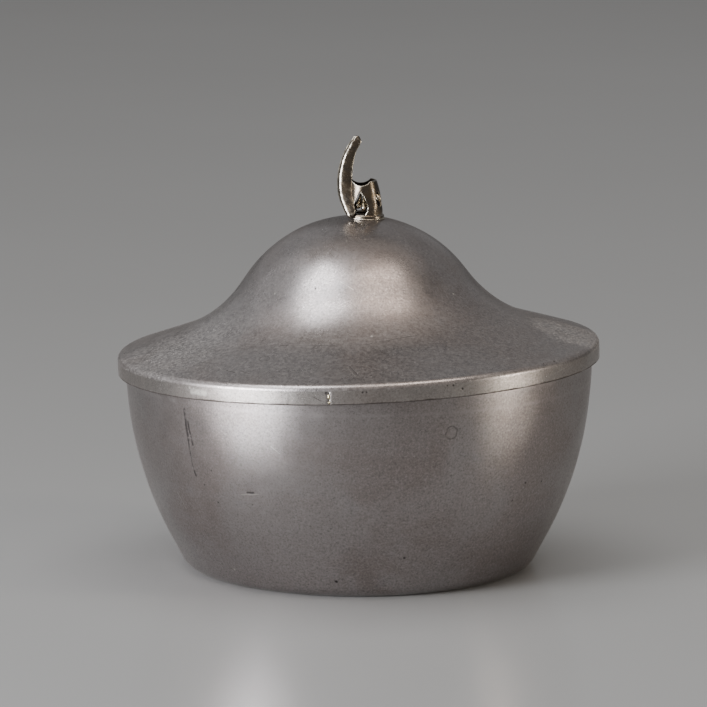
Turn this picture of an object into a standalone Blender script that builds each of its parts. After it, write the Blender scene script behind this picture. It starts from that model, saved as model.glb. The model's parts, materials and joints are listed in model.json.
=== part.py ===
"""Lidded silver sugar bowl: a spun bowl, a spun lid with a soldered edge band, and a cast berry-pod finial.

Metres, +Z up.  The origin is the middle of the bowl's flat base.  The finial's curled leaf points to -X.
"""

import math

import bmesh
import bpy
from mathutils import Matrix, Vector

MM = 0.001
GAP = 0.3 * MM  # room that soldered neighbours keep, filled by solder on the real piece
TURN_STEPS = 64  # facets round the bowl and the lid
SMALL_STEPS = 24  # facets round the finial's turned pieces

# Bowl
BOWL_BASE_RADIUS = 39.6 * MM
BOWL_HEIGHT = 52.5 * MM
BOWL_WALL = 1.1 * MM
BOWL_CORNER_RADIUS = 5.4 * MM
BOWL_SIDE_SLOPE = 62.4  # degrees from level, just above the corner
BOWL_SIDE_RUN = 6.4 * MM
BOWL_SIDE_RADIUS = 93.8 * MM
BOWL_MOUTH_SLOPE = 88.7

# Lid, in its own frame: the middle of the band's lower edge is its origin
LID_SEAT_HEIGHT = 50.75 * MM
LID_HITCH = 2.08  # degrees: the +X side stands a little proud of the rim
LID_RADIUS = 60.0 * MM
LID_SHEET = 1.0 * MM
LID_APEX = 37.03 * MM
DOME_RADIUS = 33.5 * MM
DOME_SLOPE = 53.7
DOME_RUN = 2.76 * MM
SWEEP_RADIUS = 32.9 * MM
BRIM_SLOPE = 17.6
EDGE_RADIUS = 1.035 * MM
BAND_HEIGHT = 3.49 * MM
BAND_THICKNESS = 1.0 * MM

# Finial fixing, on the lid's axis
STUD_RADIUS = 0.8 * MM
STUD_LENGTH = 5.2 * MM
BORE_RADIUS = STUD_RADIUS + GAP
WASHER_RADIUS = 4.0 * MM
WASHER_THICKNESS = 0.8 * MM
WASHER_TOP = 35.4 * MM
NUT_ACROSS_CORNERS = 4.2 * MM
NUT_HEIGHT = 1.9 * MM

# Finial, in the lid's frame
POD_CENTRE = Vector((3.15, -0.9, 0.0)) * MM
POD_LEAN = 7.5  # degrees towards the leaf, from the dome's own upright there
COLLAR_RADIUS = 4.55 * MM
COLLAR_BORE = 2.6 * MM
COLLAR_HEIGHT = 0.65 * MM
HUSK_WALL = 0.6 * MM
LEAF_ARC_CENTRE = (14.25 * MM, 45.0 * MM)
LEAF_ARC_RADIUS = 17.9 * MM
LEAF_FOOT_ANGLE = 207.5
LEAF_TIP_ANGLE = 135.5
LEAF_SECTIONS = 17
LEAF_FOOT_FORWARD = 3.6 * MM

SILVER = (0.50, 0.47, 0.45, 1.0)
TARNISH = (0.34, 0.30, 0.26, 1.0)
BRIGHT = (0.66, 0.63, 0.60, 1.0)
BRASS = (0.55, 0.42, 0.22, 1.0)


def clear_scene():
    for obj in list(bpy.data.objects):
        bpy.data.objects.remove(obj, do_unlink=True)


def new_collection(name):
    made = bpy.data.collections.new(name)
    bpy.context.scene.collection.children.link(made)
    return made


def metal(name, colour, roughness):
    made = bpy.data.materials.new(name + "_metal")
    made.use_nodes = True
    shader = made.node_tree.nodes["Principled BSDF"]
    shader.inputs["Base Color"].default_value = colour
    shader.inputs["Roughness"].default_value = roughness
    shader.inputs["Metallic"].default_value = 1.0
    return made


def add_object(name, mesh, collection, parent=None):
    made = bpy.data.objects.new(name, mesh)
    collection.objects.link(made)
    made.parent = parent
    return made


def finish_piece(piece, colour, roughness, sharp_degrees=35):
    piece.data.materials.append(metal(piece.name, colour, roughness))
    piece.data.shade_smooth()
    piece.data.set_sharp_from_angle(angle=math.radians(sharp_degrees))


def walk(x, z, heading, moves):
    """Points (x, z, heading) along straight runs (length,) and arcs (radius, degrees to the left, steps)."""
    heading = math.radians(heading)
    path = [(x, z, heading)]
    for move in moves:
        if len(move) == 1:
            x += move[0] * math.cos(heading)
            z += move[0] * math.sin(heading)
            path.append((x, z, heading))
            continue
        radius, degrees, steps = move
        side = math.copysign(radius, degrees)
        for _ in range(steps):
            ahead = heading + math.radians(degrees) / steps
            x += side * (math.sin(ahead) - math.sin(heading))
            z += side * (math.cos(heading) - math.cos(ahead))
            heading = ahead
            path.append((x, z, heading))
    return path


def offset(path, distance):
    """The path moved to its left by distance."""
    return [(x - distance * math.sin(h), z + distance * math.cos(h), h) for x, z, h in path]


def turned(name, outline, collection, steps=TURN_STEPS, ring=False, parent=None):
    """A solid of revolution about Z.  The outline runs down the outer side; a ring's outline is closed."""
    profile = bmesh.new()
    points = [profile.verts.new((p[0], 0.0, p[1])) for p in outline]
    for first, second in zip(points, points[1:]):
        profile.edges.new((first, second))
    if ring:
        profile.edges.new((points[-1], points[0]))
    mesh = bpy.data.meshes.new(name)
    profile.to_mesh(mesh)
    profile.free()
    made = add_object(name, mesh, collection, parent)
    screw = made.modifiers.new("Turn", "SCREW")
    screw.steps = steps
    screw.render_steps = steps
    screw.use_merge_vertices = True
    screw.merge_threshold = 0.00001
    screw.use_smooth_shade = True
    return made


def apply_modifiers(piece):
    """Makes the evaluated mesh the piece's own mesh, with loose caps and seams welded."""
    graph = bpy.context.evaluated_depsgraph_get()
    mesh = bpy.data.meshes.new_from_object(piece.evaluated_get(graph))
    whole = bmesh.new()
    whole.from_mesh(mesh)
    bmesh.ops.remove_doubles(whole, verts=whole.verts, dist=0.000001)
    bmesh.ops.recalc_face_normals(whole, faces=whole.faces)
    whole.to_mesh(mesh)
    whole.free()
    piece.modifiers.clear()
    piece.data = mesh


def cut(piece, cutter):
    cutter.hide_render = True
    cutter.display_type = "WIRE"
    difference = piece.modifiers.new("Cut " + cutter.name, "BOOLEAN")
    difference.operation = "DIFFERENCE"
    difference.solver = "EXACT"
    difference.object = cutter


def build_bowl(parts):
    """One spun shell: flat base, round corner, flaring side and a rounded lip."""
    outside = walk(BOWL_BASE_RADIUS, 0.0, 0.0, [
        (BOWL_CORNER_RADIUS, BOWL_SIDE_SLOPE, 4),
        (BOWL_SIDE_RUN,),
        (BOWL_SIDE_RADIUS, BOWL_MOUTH_SLOPE - BOWL_SIDE_SLOPE, 7),
    ])
    lip_radius = BOWL_WALL / 2
    last_x, last_z, heading = outside[-1]
    outside.append((last_x + (BOWL_HEIGHT - lip_radius - last_z) / math.tan(heading),
                    BOWL_HEIGHT - lip_radius, heading))
    inside = offset(outside, BOWL_WALL)
    lip = walk(*outside[-1][:2], BOWL_MOUTH_SLOPE, [(lip_radius, 180.0, 4)])[1:-1]
    outline = [(0.0, BOWL_WALL)] + inside + lip[::-1] + outside[::-1] + [(0.0, 0.0)]
    bowl = turned("bowl_shell", outline, parts)
    finish_piece(bowl, SILVER, 0.38)


def lid_outline():
    """The lid's outer line, from the dome's top to the rounded outer edge."""
    dome = walk(0.0, LID_APEX, 0.0, [
        (DOME_RADIUS, -DOME_SLOPE, 9),
        (DOME_RUN,),
        (SWEEP_RADIUS, DOME_SLOPE - BRIM_SLOPE, 6),
    ])
    edge_start = LID_RADIUS - EDGE_RADIUS * (1 - math.sin(math.radians(BRIM_SLOPE)))
    brim_run = (edge_start - dome[-1][0]) / math.cos(math.radians(BRIM_SLOPE))
    edge = walk(*dome[-1][:2], -BRIM_SLOPE, [(brim_run,), (EDGE_RADIUS, BRIM_SLOPE - 90.0, 3)])
    return dome, edge[1:]


def build_lid(parts, lid_frame):
    dome, edge = lid_outline()
    sheet = dome + edge[:1]
    underside = offset(sheet, -LID_SHEET)
    bore_top = (BORE_RADIUS, LID_APEX - BORE_RADIUS ** 2 / (2 * DOME_RADIUS))
    bore_bottom = (BORE_RADIUS, bore_top[1] - LID_SHEET)
    outline = [bore_top] + dome[1:] + edge + underside[:0:-1] + [bore_bottom]
    shell = turned("lid_shell", outline, parts, ring=True, parent=lid_frame)
    finish_piece(shell, SILVER, 0.35)

    inner = LID_RADIUS - BAND_THICKNESS
    softened = 0.2 * MM
    strip = [
        (inner, BAND_HEIGHT),
        (LID_RADIUS, BAND_HEIGHT),
        (LID_RADIUS, softened),
        (LID_RADIUS - softened, 0.0),
        (inner, 0.0),
    ]
    band = turned("lid_edge_band", strip, parts, ring=True, parent=lid_frame)
    finish_piece(band, BRIGHT, 0.32)


def build_fixing(parts, lid_frame):
    """The finial's stud through the lid's centre hole, with its washer and nut inside the dome."""
    stud_top = LID_APEX - 0.1 * MM
    stud = turned("finial_stud", [
        (0.0, stud_top),
        (STUD_RADIUS, stud_top),
        (STUD_RADIUS, stud_top - STUD_LENGTH + 0.3 * MM),
        (STUD_RADIUS - 0.3 * MM, stud_top - STUD_LENGTH),
        (0.0, stud_top - STUD_LENGTH),
    ], parts, SMALL_STEPS, parent=lid_frame)
    finish_piece(stud, BRASS, 0.45)

    washer_bottom = WASHER_TOP - WASHER_THICKNESS
    washer = turned("finial_washer", [
        (BORE_RADIUS, WASHER_TOP),
        (WASHER_RADIUS, WASHER_TOP),
        (WASHER_RADIUS, washer_bottom),
        (BORE_RADIUS, washer_bottom),
    ], parts, SMALL_STEPS, ring=True, parent=lid_frame)
    finish_piece(washer, BRASS, 0.4)

    nut_top = washer_bottom - GAP
    nut = turned("finial_nut", [
        (BORE_RADIUS, nut_top),
        (NUT_ACROSS_CORNERS / 2, nut_top),
        (NUT_ACROSS_CORNERS / 2, nut_top - NUT_HEIGHT),
        (BORE_RADIUS, nut_top - NUT_HEIGHT),
    ], parts, steps=6, ring=True, parent=lid_frame)
    finish_piece(nut, BRASS, 0.4)


def build_leaf(name, collection, lid_frame, clearance=0.0):
    """The curled leaf: a tapering folded section swept along an arc, spine outwards, groove on its inner side."""
    whole = bmesh.new()
    rings = []
    for index in range(LEAF_SECTIONS):
        along = index / (LEAF_SECTIONS - 1)
        angle = math.radians(LEAF_FOOT_ANGLE + (LEAF_TIP_ANGLE - LEAF_FOOT_ANGLE) * along)
        outward = Vector((math.cos(angle), 0.0, math.sin(angle)))
        width = (1.2 + 2.4 * math.sin(math.pi * along ** 0.75) ** 0.7) * MM
        depth = (0.55 + 1.0 * math.sin(math.pi * along ** 0.6) ** 0.8) * MM
        forward = LEAF_FOOT_FORWARD * max(0.0, 1 - along / 0.42) ** 1.6
        spine = Vector((LEAF_ARC_CENTRE[0], POD_CENTRE.y - forward, LEAF_ARC_CENTRE[1]))
        spine += outward * LEAF_ARC_RADIUS
        section = [  # (inwards from the spine, forwards)
            (-clearance, 0.12 * MM + clearance),
            (-clearance, -0.12 * MM - clearance),
            (0.55 * width, -0.85 * depth - clearance),
            (width + clearance, -depth - clearance),
            (width + clearance, -0.6 * depth - clearance),
            (0.72 * width + clearance, 0.0),
            (width + clearance, 0.6 * depth + clearance),
            (width + clearance, depth + clearance),
            (0.55 * width, 0.85 * depth + clearance),
        ]
        rings.append([
            whole.verts.new(spine - outward * inwards + Vector((0.0, forwards, 0.0)))
            for inwards, forwards in section
        ])
    for lower, upper in zip(rings, rings[1:]):
        for i in range(len(lower)):
            j = (i + 1) % len(lower)
            whole.faces.new((lower[i], lower[j], upper[j], upper[i]))
    whole.faces.new(rings[0][::-1])
    whole.faces.new(rings[-1])
    bmesh.ops.recalc_face_normals(whole, faces=whole.faces)
    mesh = bpy.data.meshes.new(name)
    whole.to_mesh(mesh)
    whole.free()
    return add_object(name, mesh, collection, lid_frame)


def ellipsoid_cutter(name, centre, radii, cutters, lid_frame):
    shape = bmesh.new()
    bmesh.ops.create_uvsphere(shape, u_segments=20, v_segments=12, radius=1.0)
    bmesh.ops.scale(shape, vec=Vector(radii) * MM, verts=shape.verts)
    mesh = bpy.data.meshes.new(name)
    shape.to_mesh(mesh)
    shape.free()
    made = add_object(name, mesh, cutters, lid_frame)
    made.location = Vector(centre) * MM
    return made


def stand_on_dome(parts, lid_frame):
    """An empty on the dome under the pod, upright to the sheet there and a solder gap above it."""
    dome_middle = Vector((0.0, 0.0, LID_APEX - DOME_RADIUS))
    seat = DOME_RADIUS + GAP
    reach = math.hypot(POD_CENTRE.x, POD_CENTRE.y)
    upright = Vector((POD_CENTRE.x, POD_CENTRE.y, math.sqrt(seat ** 2 - reach ** 2))).normalized()
    frame = bpy.data.objects.new("pod_axis", None)
    parts.objects.link(frame)
    frame.parent = lid_frame
    frame.location = dome_middle + upright * seat
    frame.rotation_mode = "QUATERNION"
    frame.rotation_quaternion = Vector((0.0, 0.0, 1.0)).rotation_difference(upright)
    return frame


def build_collar(parts, pod_frame, leaf_room):
    """A low ring that follows the dome under the pod."""
    seat = DOME_RADIUS + GAP

    def under(radius):
        return math.sqrt(seat ** 2 - radius ** 2) - seat

    collar = turned("finial_collar", [
        (COLLAR_BORE, COLLAR_HEIGHT),
        (COLLAR_RADIUS - 0.35 * MM, COLLAR_HEIGHT),
        (COLLAR_RADIUS - 0.05 * MM, COLLAR_HEIGHT - 0.3 * MM),
        (COLLAR_RADIUS, under(COLLAR_RADIUS) + 0.25 * MM),
        (COLLAR_RADIUS - 0.1 * MM, under(COLLAR_RADIUS)),
        (COLLAR_BORE, under(COLLAR_BORE)),
    ], parts, SMALL_STEPS, ring=True, parent=pod_frame)
    cut(collar, leaf_room)
    finish_piece(collar, BRIGHT, 0.35)


def build_husk(parts, cutters, lid_frame, pod_frame, leaf_room):
    """The pod's wall: a leaning, tapering tube with three arched windows and a scooped top edge."""
    outside = [(2.9, 8.0), (3.35, 6.9), (3.75, 5.2), (4.1, 3.0), (4.25, 1.2), (4.1, 0.0)]
    wall = HUSK_WALL / MM
    base = COLLAR_HEIGHT / MM + GAP / MM
    outline = [(r, base + z) for r, z in outside] + [(r - wall, base + z) for r, z in reversed(outside)]
    husk = turned("finial_husk", [(r * MM, z * MM) for r, z in outline], parts, SMALL_STEPS,
                  ring=True, parent=pod_frame)
    apply_modifiers(husk)
    husk.data.transform(Matrix.Shear("XY", 4, (-math.tan(math.radians(POD_LEAN)), 0.0)))

    windows = {
        "window_front": ((1.9, -4.6, 40.3), (1.75, 3.0, 3.3)),
        "window_back": ((2.3, 2.8, 40.3), (1.75, 3.0, 3.3)),
        "window_side": ((7.6, -2.2, 41.2), (2.4, 1.5, 2.1)),
    }
    for name, (centre, radii) in windows.items():
        cut(husk, ellipsoid_cutter(name, centre, radii, cutters, lid_frame))

    scoop_mesh = bmesh.new()
    bmesh.ops.create_cone(scoop_mesh, cap_ends=True, segments=32, radius1=2.9 * MM, radius2=2.9 * MM,
                          depth=14 * MM, matrix=Matrix.Rotation(math.pi / 2, 4, "X"))
    mesh = bpy.data.meshes.new("scoop")
    scoop_mesh.to_mesh(mesh)
    scoop_mesh.free()
    scoop = add_object("scoop", mesh, cutters, lid_frame)
    scoop.location = Vector((2.3, -0.8, 47.9)) * MM
    cut(husk, scoop)
    cut(husk, leaf_room)
    finish_piece(husk, TARNISH, 0.4)


def build_berries(parts, lid_frame):
    """Drop-shaped berries on short wire stems, each leaning to the top of its window."""
    berry_radius = 0.8 * MM
    stem_radius = 0.22 * MM
    hanging = {  # middle of the berry, and where its stem ends
        "finial_berry_front_left": ((1.15, -2.3, 39.9), (2.0, -2.0, 42.9)),
        "finial_berry_front_right": ((2.75, -2.7, 39.3), (2.6, -2.1, 42.7)),
        "finial_berry_side": ((6.5, -1.7, 41.3), (5.3, -1.3, 43.1)),
        "finial_berry_back_left": ((1.5, 0.9, 40.1), (2.3, 0.5, 42.9)),
        "finial_berry_back_right": ((3.3, 1.1, 39.5), (3.1, 0.6, 42.7)),
    }
    for name, (middle, stem_end) in hanging.items():
        middle = Vector(middle) * MM
        stem = Vector(stem_end) * MM - middle
        ball = walk(0.0, berry_radius, 0.0, [(berry_radius, -180.0, 8)])
        outline = [(0.0, stem.length), (stem_radius, stem.length)]
        outline += [(x, z) for x, z, _ in ball if x > stem_radius or z < 0]
        outline[-1] = (0.0, -berry_radius)
        berry = turned(name, outline, parts, steps=12, parent=lid_frame)
        berry.location = middle
        berry.rotation_mode = "QUATERNION"
        berry.rotation_quaternion = Vector((0.0, 0.0, 1.0)).rotation_difference(stem)
        finish_piece(berry, BRIGHT, 0.25, sharp_degrees=60)


def build():
    clear_scene()
    parts = new_collection("sugar_bowl")
    cutters = new_collection("cutters")
    lid_frame = bpy.data.objects.new("lid_axis", None)
    parts.objects.link(lid_frame)
    lid_frame.location = (0.0, 0.0, LID_SEAT_HEIGHT)
    lid_frame.rotation_euler = (0.0, -math.radians(LID_HITCH), 0.0)

    build_bowl(parts)
    build_lid(parts, lid_frame)
    build_fixing(parts, lid_frame)
    leaf = build_leaf("finial_leaf", parts, lid_frame)
    finish_piece(leaf, TARNISH, 0.33, sharp_degrees=50)
    leaf_room = build_leaf("leaf_room", cutters, lid_frame, clearance=0.32 * MM)
    pod_frame = stand_on_dome(parts, lid_frame)
    build_collar(parts, pod_frame, leaf_room)
    build_husk(parts, cutters, lid_frame, pod_frame, leaf_room)
    build_berries(parts, lid_frame)


build()
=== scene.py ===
import json
import math

import bmesh
import bpy
from mathutils import Matrix, Vector, noise


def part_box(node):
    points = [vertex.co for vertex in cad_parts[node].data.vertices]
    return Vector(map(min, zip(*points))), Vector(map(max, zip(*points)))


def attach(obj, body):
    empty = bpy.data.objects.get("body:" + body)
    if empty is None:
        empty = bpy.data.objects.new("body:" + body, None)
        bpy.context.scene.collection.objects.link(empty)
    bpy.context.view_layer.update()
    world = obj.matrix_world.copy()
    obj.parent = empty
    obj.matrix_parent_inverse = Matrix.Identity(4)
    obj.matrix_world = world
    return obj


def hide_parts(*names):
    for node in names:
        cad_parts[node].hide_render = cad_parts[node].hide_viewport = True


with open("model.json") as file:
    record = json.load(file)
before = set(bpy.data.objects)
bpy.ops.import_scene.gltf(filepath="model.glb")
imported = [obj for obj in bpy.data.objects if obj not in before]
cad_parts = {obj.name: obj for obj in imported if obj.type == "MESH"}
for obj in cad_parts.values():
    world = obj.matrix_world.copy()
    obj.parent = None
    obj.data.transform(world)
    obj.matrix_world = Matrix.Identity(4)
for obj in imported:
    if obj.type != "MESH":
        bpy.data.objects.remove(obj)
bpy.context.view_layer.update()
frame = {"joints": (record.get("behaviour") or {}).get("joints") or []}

MM = 0.001
SCRATCH_TURNS = (8, 47, -34, 81)  # degrees
UP = Vector((0.0, 0.0, 1.0))

# Bowl, in the object's frame
BASE_RADIUS = 39.6 * MM
CORNER_RADIUS = 5.4 * MM
SIDE_SLOPE = 62.4  # degrees from level
SIDE_RUN = 6.4 * MM
SIDE_RADIUS = 93.8 * MM
MOUTH_SLOPE = 88.7
BOWL_WALL = 1.1 * MM
BOWL_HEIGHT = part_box("bowl_shell")[1].z
WEAR_LINE = 47.7 * MM  # where the lid's band has rubbed the bowl

# Lid, in its own frame: the middle of the band's lower edge is its origin
LID_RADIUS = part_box("lid_edge_band")[1].y
LID_SHEET = 1.0 * MM
LID_APEX = 37.03 * MM
LID_BORE = 1.1 * MM
DOME_RADIUS = 33.5 * MM
DOME_SLOPE = 53.7
DOME_RUN = 2.76 * MM
SWEEP_RADIUS = 32.9 * MM
BRIM_SLOPE = 17.6
EDGE_RADIUS = 1.6 * MM
BAND_THICKNESS = 1.0 * MM
SEAM_ANGLE = -6.8  # degrees round from the front
SEAM_GAP = 0.16 * MM

# Finial, in the lid's frame
POD_CENTRE = Vector((3.15, -0.9, 0.0)) * MM
POD_SEAT = DOME_RADIUS + 0.3 * MM
POD_LEAN = 7.5
COLLAR_RADIUS = 4.5 * MM
COLLAR_BORE = 2.6 * MM
COLLAR_HEIGHT = 0.65 * MM
HUSK_FOOT = 0.95 * MM
HUSK_WALL = 0.6 * MM
LEAF_ARC_CENTRE = (14.25 * MM, 45.0 * MM)
LEAF_ARC_RADIUS = 17.9 * MM
LEAF_FOOT_ANGLE = 207.5
LEAF_TIP_ANGLE = 135.5
BERRY_RADIUS = 0.8 * MM
STEM_RADIUS = 0.22 * MM

# Fixing, on the lid's axis
STUD_RADIUS = 0.8 * MM
STUD_TOP = LID_APEX - 0.1 * MM
STUD_LENGTH = 5.2 * MM
THREAD_PITCH = 0.35 * MM
WASHER_RADIUS = 4.0 * MM
WASHER_TOP = 35.4 * MM
WASHER_THICKNESS = 0.8 * MM
NUT_ACROSS_CORNERS = 4.2 * MM
NUT_TOP = 34.3 * MM
NUT_HEIGHT = 1.9 * MM

BODY_STEPS = 360  # facets round the bowl and the lid

# Metal colours
BODY_TINT = (0.262, 0.240, 0.236)
BAND_TINT = (0.30, 0.278, 0.264)

# Camera
LOOK_AT = Vector((-1.333, 0.0, 53.12)) * MM
CAMERA_DISTANCE = 1213.5 * MM
CAMERA_ELEVATION = math.radians(9.444)
CAMERA_LENS = 247.9


# ---------------------------------------------------------------- shapes

def joint(name):
    return next(j for j in frame["joints"] if j["name"] == name)


def lid_frame():
    """The lid's own frame at rest, from the joint that it turns on."""
    turn = joint("lid_turn")
    tilt = UP.rotation_difference(Vector(turn["axis"]))
    return Matrix.Translation(Vector(turn["pos_m"])) @ tilt.to_matrix().to_4x4()


def pod_frame():
    """A frame on the dome under the pod, upright to the sheet there, in the lid's frame."""
    dome_middle = Vector((0.0, 0.0, LID_APEX - DOME_RADIUS))
    reach = math.hypot(POD_CENTRE.x, POD_CENTRE.y)
    upright = Vector((POD_CENTRE.x, POD_CENTRE.y, math.sqrt(POD_SEAT ** 2 - reach ** 2))).normalized()
    turn = UP.rotation_difference(upright).to_matrix().to_4x4()
    return Matrix.Translation(dome_middle + upright * POD_SEAT) @ turn


LID = lid_frame()
POD = LID @ pod_frame()


def smoothstep(low, high, value):
    t = min(max((value - low) / (high - low), 0.0), 1.0)
    return t * t * (3 - 2 * t)


def walk(x, z, heading, moves):
    """Points (x, z, heading) along runs (length, steps) and arcs (radius, degrees to the left, steps)."""
    heading = math.radians(heading)
    path = [(x, z, heading)]
    for move in moves:
        if len(move) == 2:
            length, steps = move
            for _ in range(steps):
                x += length / steps * math.cos(heading)
                z += length / steps * math.sin(heading)
                path.append((x, z, heading))
            continue
        radius, degrees, steps = move
        side = math.copysign(radius, degrees)
        for _ in range(steps):
            ahead = heading + math.radians(degrees) / steps
            x += side * (math.sin(ahead) - math.sin(heading))
            z += side * (math.cos(heading) - math.cos(ahead))
            heading = ahead
            path.append((x, z, heading))
    return path


def offset(path, distance):
    """The path moved to its left by distance."""
    return [(x - distance * math.sin(h), z + distance * math.cos(h), h) for x, z, h in path]


def rounded(points, steps, closed=True):
    """A smooth line through the points, with steps stretches between each two."""
    count = len(points)
    line = []
    for i in range(count if closed else count - 1):
        if closed:
            a, b, c, d = (points[(i + k) % count] for k in (-1, 0, 1, 2))
        else:
            a, b, c, d = (points[min(max(i + k, 0), count - 1)] for k in (-1, 0, 1, 2))
        for step in range(steps):
            t = step / steps
            line.append(tuple(
                0.5 * (2 * q + (r - p) * t + (2 * p - 5 * q + 4 * r - s) * t ** 2
                       + (3 * q - p - 3 * r + s) * t ** 3)
                for p, q, r, s in zip(a, b, c, d)))
    if not closed:
        line.append(tuple(points[-1]))
    return line


def round_from_front(angle):
    """The direction at an angle in degrees round from the front, towards +X."""
    return Vector((math.sin(math.radians(angle)), -math.cos(math.radians(angle)), 0.0))


def add_piece(name, whole, place):
    """An object from a bmesh in its own frame, which its mesh remembers as the attribute "own"."""
    bmesh.ops.recalc_face_normals(whole, faces=whole.faces)
    mesh = bpy.data.meshes.new(name)
    whole.to_mesh(mesh)
    whole.free()
    own = mesh.attributes.new("own", "FLOAT_VECTOR", "POINT")
    own.data.foreach_set("vector", [value for v in mesh.vertices for value in v.co])
    mesh.transform(place)
    mesh.shade_smooth()
    mesh.set_sharp_from_angle(angle=math.radians(48))
    piece = bpy.data.objects.new(name, mesh)
    bpy.context.scene.collection.objects.link(piece)
    return piece


def belong(piece, body, slot, material, *nodes):
    """Puts a piece on its body, gives it the material and puts it in the place of its CAD nodes, which are
    hidden. The slot is not used.
    """
    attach(piece, body)
    if nodes:
        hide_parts(*nodes)
    piece.data.materials.append(material)
    return piece


def lathe_mesh(outline, steps=BODY_STEPS, ring=False, sweep=None, shape=None):
    """A turned bmesh about Z.  A ring's outline is closed.  A sweep, (start, end) in degrees, leaves the
    turn open and capped.  shape(point) moves each point of the finished turn."""
    whole = bmesh.new()
    start, end = sweep or (0.0, 360.0)
    count = steps + 1 if sweep else steps
    rows = []
    for x, z, *_ in outline:
        if x < 1e-7:
            rows.append([whole.verts.new((0.0, 0.0, z))] * count)
            continue
        rows.append([])
        for i in range(count):
            angle = math.radians(start + (end - start) * i / steps)
            rows[-1].append(whole.verts.new((x * math.cos(angle), x * math.sin(angle), z)))
    pairs = list(zip(rows, rows[1:]))
    if ring:
        pairs.append((rows[-1], rows[0]))
    for upper, lower in pairs:
        for i in range(steps):
            j = (i + 1) % count
            corners = list(dict.fromkeys((upper[i], lower[i], lower[j], upper[j])))
            whole.faces.new(corners)
    if sweep:
        whole.faces.new([row[0] for row in rows])
        whole.faces.new([row[-1] for row in reversed(rows)])
    if shape:
        for vert in whole.verts:
            vert.co = shape(vert.co)
    return whole


def bowl_outside():
    path = walk(BASE_RADIUS, 0.0, 0.0, [
        (CORNER_RADIUS, SIDE_SLOPE, 16),
        (SIDE_RUN, 5),
        (SIDE_RADIUS, MOUTH_SLOPE - SIDE_SLOPE, 40),
    ])
    x, z, heading = path[-1]
    rise = BOWL_HEIGHT - BOWL_WALL / 2 - z
    return path + walk(x, z, MOUTH_SLOPE, [(rise / math.sin(heading), 3)])[1:]


def lid_outside():
    """The lid's outer line as (sheet, edge): the edge is the round from the brim down to the band."""
    sheet = walk(0.0, LID_APEX, 0.0, [
        (DOME_RADIUS, -DOME_SLOPE, 44),
        (DOME_RUN, 3),
        (SWEEP_RADIUS, DOME_SLOPE - BRIM_SLOPE, 28),
    ])
    edge_start = LID_RADIUS - EDGE_RADIUS * (1 - math.sin(math.radians(BRIM_SLOPE)))
    run = (edge_start - sheet[-1][0]) / math.cos(math.radians(BRIM_SLOPE))
    sheet += walk(*sheet[-1][:2], -BRIM_SLOPE, [(run, 14)])[1:]
    edge = walk(*sheet[-1][:2], -BRIM_SLOPE, [(EDGE_RADIUS, BRIM_SLOPE - 90.0, 12)])[1:]
    return sheet, edge


def on_bowl(angle, height):
    """The point of the bowl's outside at an angle round from the front and a height in mm."""
    line = bowl_outside()
    for low, high in zip(line, line[1:]):
        if high[1] >= height * MM:
            break
    share = (height * MM - low[1]) / (high[1] - low[1])
    radius = low[0] + (high[0] - low[0]) * share
    return round_from_front(angle) * radius + UP * height * MM


def on_lid(angle, radius):
    """The point of the lid's top at an angle round from the front and a radius in mm."""
    sheet, edge = lid_outside()
    line = sheet + edge
    for near, far in zip(line, line[1:]):
        if far[0] >= radius * MM:
            break
    share = (radius * MM - near[0]) / (far[0] - near[0])
    height = near[1] + (far[1] - near[1]) * share
    return round_from_front(angle) * radius * MM + UP * height


def on_band(angle, height):
    return round_from_front(angle) * LID_RADIUS + UP * height * MM


def pressed(point, dings):
    """The point pushed towards the axis by the shallow dings (middle, radius, depth) near it."""
    for middle, radius, depth in dings:
        near = 1 - (point - middle).length / radius
        if near > 0:
            inwards = Vector((-middle.x, -middle.y, -0.4 * middle.length)).normalized()
            point = point + inwards * depth * near * near * (3 - 2 * near)
    return point


BOWL_DINGS = (
    (on_bowl(22.5, 42.8), 3.2 * MM, 0.06 * MM),
    (on_bowl(-28.0, 27.0), 2.4 * MM, 0.05 * MM),
    (on_bowl(118.0, 30.0), 5.0 * MM, 0.16 * MM),
    (on_bowl(-150.0, 18.0), 4.0 * MM, 0.14 * MM),
)
LID_DINGS = (
    (on_lid(-52.0, 27.0), 5.0 * MM, 0.10 * MM),
    (on_lid(44.0, 28.5), 4.5 * MM, 0.10 * MM),
    (on_lid(160.0, 30.0), 5.0 * MM, 0.15 * MM),
    (on_lid(-2.0, 52.5), 2.5 * MM, 0.05 * MM),
)


def bowl_shape(point):
    """Hand-spun sheet is never quite true: a slow waviness, none at the base and the mouth, and dings."""
    calm = smoothstep(1 * MM, 8 * MM, point.z) * (1 - smoothstep(42 * MM, 50 * MM, point.z))
    wave = noise.noise_vector(point / (17 * MM)) * 0.11 * MM * calm
    return pressed(point + wave, BOWL_DINGS)


def lid_shape(point):
    radius = math.hypot(point.x, point.y)
    calm = smoothstep(9 * MM, 18 * MM, radius) * (1 - smoothstep(48 * MM, 56 * MM, radius))
    wave = noise.noise_vector(point / (15 * MM)) * 0.10 * MM * calm
    return pressed(point + wave, LID_DINGS)


def band_shape(point):
    """The band's lower edge was filed by hand, and its outer corner is a little worn."""
    angle = math.atan2(point.y, point.x)
    around = Vector((math.cos(angle), math.sin(angle), 0.0))
    low = 1 - smoothstep(0.0, 1.6 * MM, point.z)
    lift = (0.5 + 0.5 * noise.noise(around * 14)) * 0.09 * MM * low
    inward = (0.5 + 0.5 * noise.noise(around * 22 + UP)) * 0.05 * MM * low
    from_seam = (angle - math.radians(SEAM_ANGLE - 90.0) + math.pi) % (2 * math.pi) - math.pi
    inward += 0.12 * MM * math.exp(-(from_seam * LID_RADIUS / (0.35 * MM)) ** 2)
    return point - around * inward + UP * lift


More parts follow.
